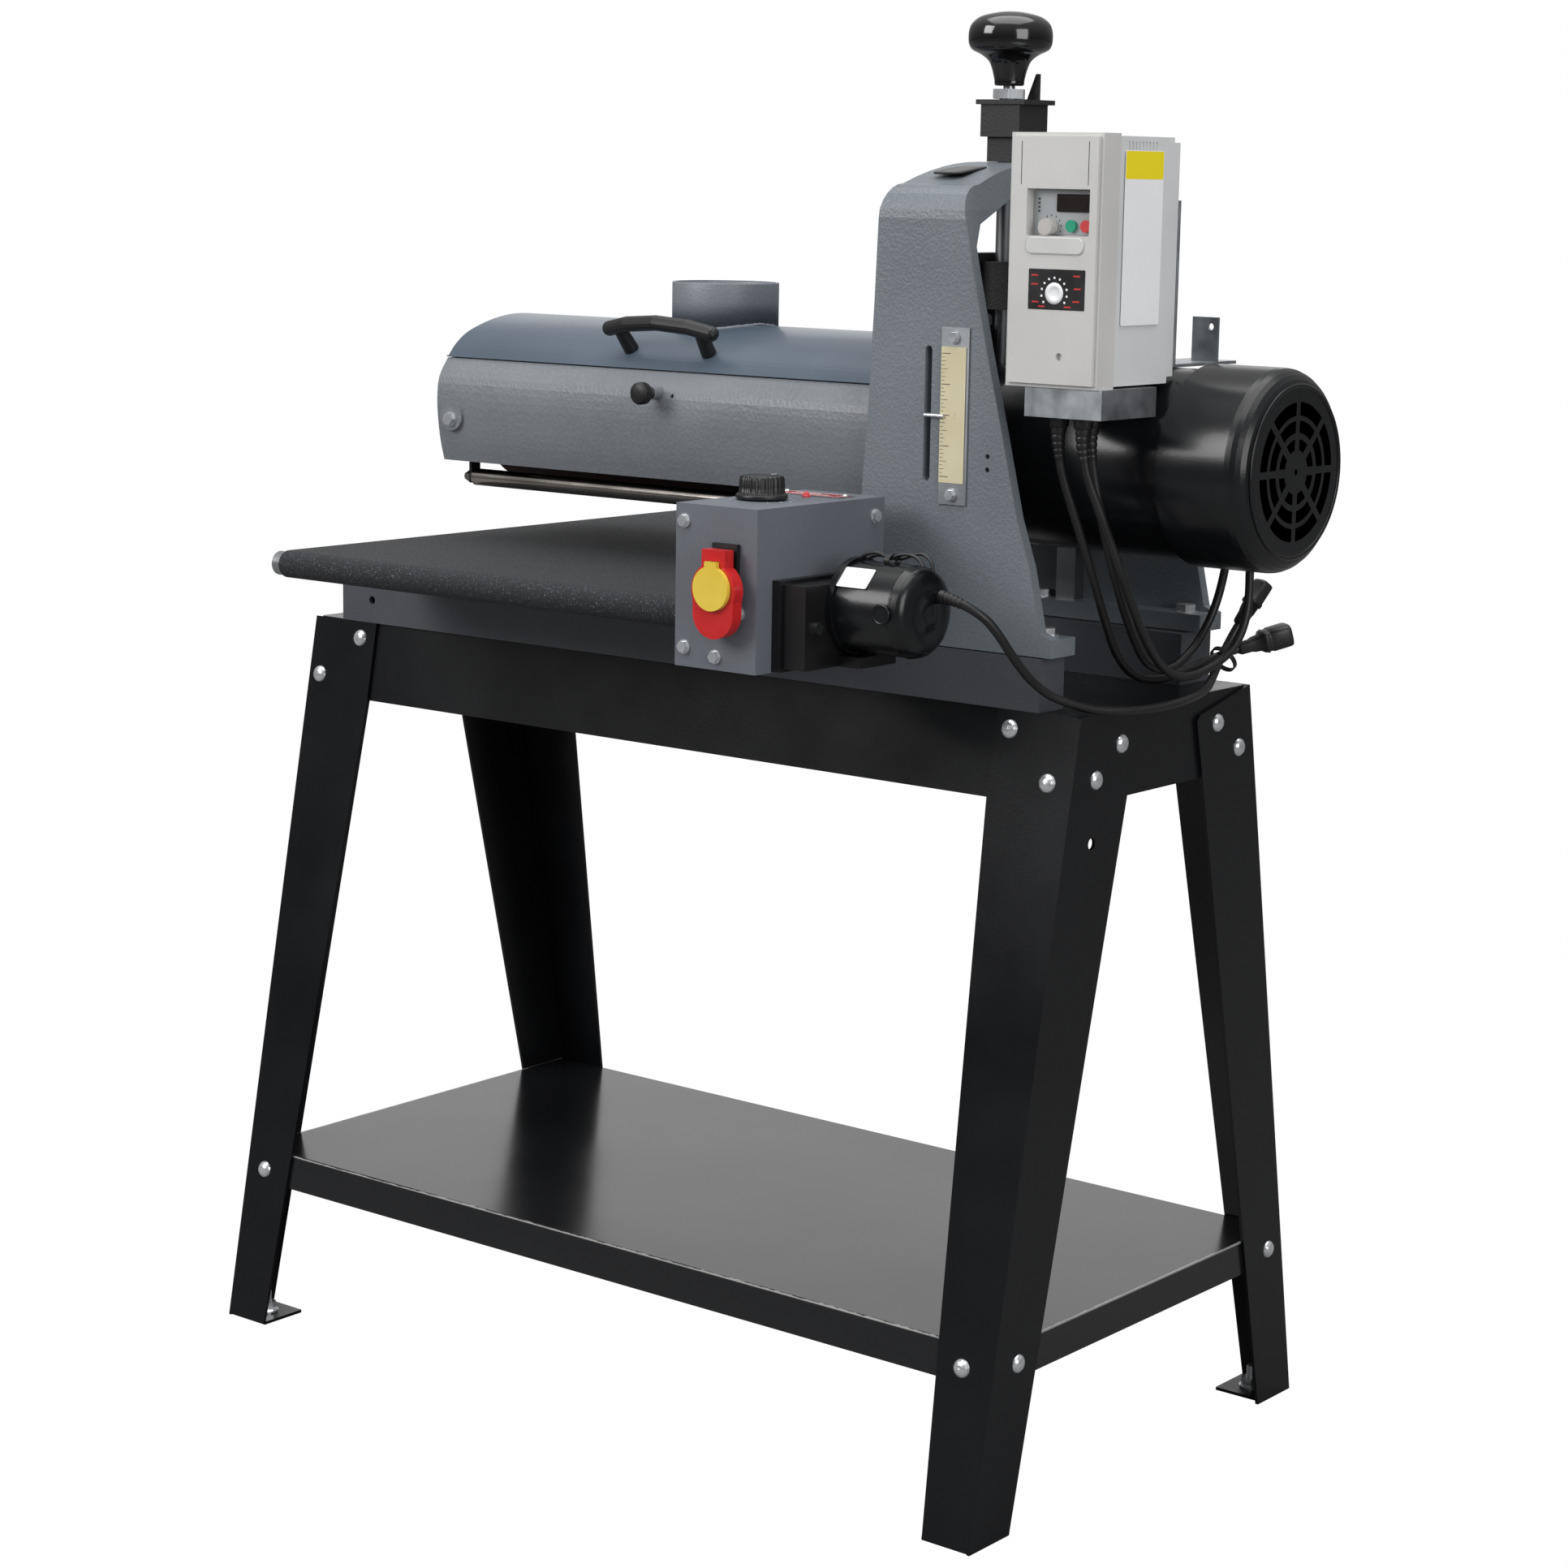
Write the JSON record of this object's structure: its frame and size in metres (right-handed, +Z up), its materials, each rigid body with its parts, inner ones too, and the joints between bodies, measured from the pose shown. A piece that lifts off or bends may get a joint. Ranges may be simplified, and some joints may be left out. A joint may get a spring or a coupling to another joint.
{
  "type": "open-ended drum sander on stand",
  "caption": "Open-ended drum sander with a powered conveyor belt, screw-raised head, hinged dust cover and motor control, on an open steel stand with a shelf.",
  "frame": {"origin": "on the floor, at the centre of the stand's footprint", "axes": "+X along the drum towards the motor, -Y to the infeed side where the operator stands, +Z up"},
  "size_m": [1.015, 0.6525, 1.255],
  "materials": {
    "stand_black": "semi-gloss",
    "shelf_black": "gloss",
    "zinc_steel": "zinc plated",
    "base_charcoal": "textured",
    "slate_hammer": "hammered",
    "cover_slate": "semi-gloss",
    "machined_steel": "machined",
    "dark_steel": "satin",
    "gauge_plate": "satin",
    "black_plastic": "satin",
    "gloss_black": "gloss",
    "abrasive_brown": "gritty",
    "roller_chrome": "polished",
    "motor_black": "satin",
    "inverter_grey": "satin",
    "button_green": "gloss",
    "button_red": "gloss",
    "galvanised": "galvanised",
    "bed_steel": "rolled",
    "belt_black": "coarse",
    "side_aluminium": "satin",
    "box_grey": "textured",
    "paddle_red": "gloss",
    "key_yellow": "gloss",
    "cord_black": "satin",
    "spring_steel": "wire"
  },
  "bodies": {
    "base": {"front_legs": "stand_black", "rear_legs": "stand_black", "aprons": "stand_black", "shelf": "shelf_black", "stand_fasteners": "zinc_steel", "base_frame": "base_charcoal", "column": "slate_hammer", "column_ways": "machined_steel", "machine_screws": "zinc_steel", "depth_gauge": "gauge_plate", "screw_bracket": "dark_steel", "conveyor_bed": "bed_steel", "conveyor_belt": "belt_black", "conveyor_sides": "side_aluminium", "control_box": "box_grey", "switch_body": "black_plastic", "gearbox": "motor_black", "gearmotor": "motor_black", "conveyor_lead": "cord_black", "supply_lead": "cord_black", "motor_lead_a": "cord_black", "motor_lead_b": "cord_black", "lead_ends": "black_plastic"},
    "head": {"head_carriage": "dark_steel", "head_bolts": "zinc_steel", "depth_pointer": "machined_steel", "drum_housing": "slate_hammer", "drum_bearings": "machined_steel", "cover_hinge_pin": "machined_steel", "infeed_springs": "spring_steel", "outfeed_springs": "spring_steel", "motor_body": "motor_black", "fan_cover": "motor_black", "terminal_box": "black_plastic", "inverter_body": "inverter_grey", "inverter_cover": "inverter_grey", "inverter_bracket": "galvanised", "conduit_box": "galvanised"},
    "height_screw": {"lead_screw": "machined_steel", "height_knob": "gloss_black"},
    "drum": {"drum": "machined_steel", "abrasive_wrap": "abrasive_brown", "shaft_coupling": "dark_steel", "rotor_shaft": "machined_steel", "motor_fan": "black_plastic"},
    "cover": {"dust_cover": "cover_slate", "cover_handle": "black_plastic"},
    "latch": {"cover_latch": "black_plastic"},
    "infeed_hanger": {"infeed_bracket": "dark_steel"},
    "outfeed_hanger": {"outfeed_bracket": "dark_steel"},
    "infeed_roller": {"infeed_roller": "roller_chrome"},
    "outfeed_roller": {"outfeed_roller": "roller_chrome"},
    "conveyor_drive": {"drive_roller": "machined_steel"},
    "conveyor_idler": {"idler_roller": "machined_steel"},
    "speed_dial": {"speed_dial": "black_plastic"},
    "switch_paddle": {"switch_paddle": "paddle_red"},
    "switch_key": {"switch_key": "key_yellow"},
    "inverter_knob": {"inverter_knob": "inverter_grey"},
    "run_button": {"run_button": "button_green"},
    "stop_button": {"stop_button": "button_red"}
  },
  "joints": [
    {"name": "head_lift", "type": "slide", "parent": "base", "child": "head", "axis": [0, 0, 1], "range_m": [-0.05, 0.048], "deforming": ["supply_lead", "motor_lead_a", "motor_lead_b"]},
    {"name": "height_screw_turn", "type": "hinge", "parent": "base", "child": "height_screw", "pos_m": [0.267, 0, 1.1], "axis": [0, 0, 1], "range_deg": [-11360, 10920]},
    {"name": "drum_spin", "type": "hinge", "parent": "head", "child": "drum", "pos_m": [0, 0, 0.884], "axis": [1, 0, 0], "continuous": true},
    {"name": "cover_hinge", "type": "hinge", "parent": "head", "child": "cover", "pos_m": [0, 0.107, 0.945], "axis": [-1, 0, 0], "range_deg": [0, 95]},
    {"name": "latch_pull", "type": "slide", "parent": "head", "child": "latch", "axis": [0, -1, 0], "range_m": [0, 0.006], "stiffness_N_per_m": 300, "springref_m": -0.004},
    {"name": "infeed_press", "type": "slide", "parent": "head", "child": "infeed_hanger", "axis": [0, 0, 1], "range_m": [0, 0.003], "stiffness_N_per_m": 4000, "springref_m": -0.004, "deforming": ["infeed_springs"]},
    {"name": "outfeed_press", "type": "slide", "parent": "head", "child": "outfeed_hanger", "axis": [0, 0, 1], "range_m": [0, 0.003], "stiffness_N_per_m": 4000, "springref_m": -0.004, "deforming": ["outfeed_springs"]},
    {"name": "infeed_roller_spin", "type": "hinge", "parent": "infeed_hanger", "child": "infeed_roller", "pos_m": [0, -0.09, 0.8285], "axis": [1, 0, 0], "continuous": true},
    {"name": "outfeed_roller_spin", "type": "hinge", "parent": "outfeed_hanger", "child": "outfeed_roller", "pos_m": [0, 0.09, 0.8285], "axis": [1, 0, 0], "continuous": true},
    {"name": "conveyor_drive_spin", "type": "hinge", "parent": "base", "child": "conveyor_drive", "pos_m": [0, -0.29, 0.7575], "axis": [1, 0, 0], "continuous": true},
    {"name": "conveyor_idler_spin", "type": "hinge", "parent": "base", "child": "conveyor_idler", "pos_m": [0, 0.29, 0.7575], "axis": [1, 0, 0], "continuous": true},
    {"name": "speed_dial_turn", "type": "hinge", "parent": "base", "child": "speed_dial", "pos_m": [0.213, -0.259, 0.858], "axis": [0, 0, 1], "range_deg": [-140, 140]},
    {"name": "switch_paddle_lift", "type": "hinge", "parent": "base", "child": "switch_paddle", "pos_m": [0.2345, -0.328, 0.806], "axis": [-1, 0, 0], "range_deg": [0, 10], "stiffness_Nm_per_rad": 0.2, "springref_deg": -17.19},
    {"name": "switch_key_pull", "type": "slide", "parent": "switch_paddle", "child": "switch_key", "axis": [0, -1, 0], "range_m": [0, 0.02]},
    {"name": "inverter_knob_turn", "type": "hinge", "parent": "head", "child": "inverter_knob", "pos_m": [0.414, -0.15, 1.078], "axis": [0, 1, 0], "range_deg": [-135, 135]},
    {"name": "run_button_press", "type": "slide", "parent": "head", "child": "run_button", "axis": [0, 1, 0], "range_m": [0, 0.0015], "stiffness_N_per_m": 300, "springref_m": -0.001},
    {"name": "stop_button_press", "type": "slide", "parent": "head", "child": "stop_button", "axis": [0, 1, 0], "range_m": [0, 0.0015], "stiffness_N_per_m": 300, "springref_m": -0.001}
  ],
  "couplings": [
    {"joint": "height_screw_turn", "follows": "head_lift", "rad_per_m": 3957.9},
    {"joint": "conveyor_idler_spin", "follows": "conveyor_drive_spin", "ratio": 1}
  ]
}
